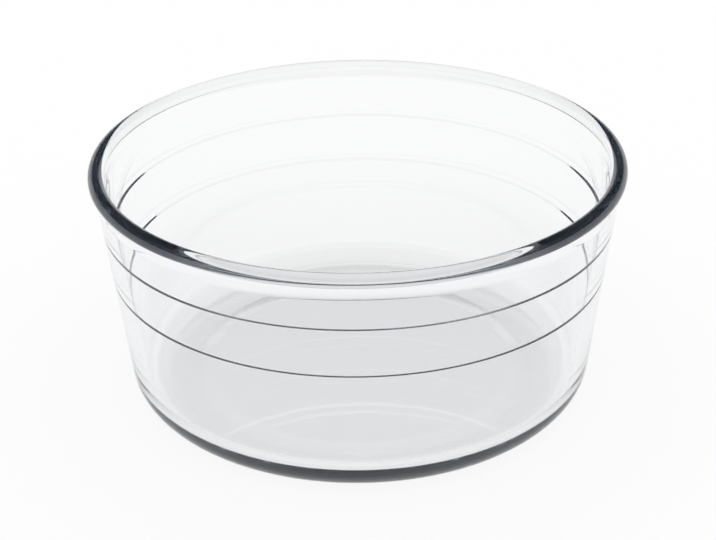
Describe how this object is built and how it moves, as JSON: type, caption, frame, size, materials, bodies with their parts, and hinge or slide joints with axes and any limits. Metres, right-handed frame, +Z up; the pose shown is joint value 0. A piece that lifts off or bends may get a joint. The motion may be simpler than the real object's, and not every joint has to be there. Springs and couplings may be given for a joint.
{
  "type": "souffle dish",
  "caption": "Round clear pressed-glass souffle dish with a slightly leaning wall, a rounded bead along the rim, low steps inside the wall and a flat foot ring.",
  "frame": {"origin": "centre of the foot, on the surface that the dish stands on", "axes": "+Z up along the dish's axis, out of the open top; X and Y are alike, because the dish is round"},
  "size_m": [0.21, 0.21, 0.097],
  "materials": {
    "glass": "clear, glossy, fire-polished pressed glass"
  },
  "bodies": {
    "root": {"dish": "glass"}
  },
  "joints": []
}
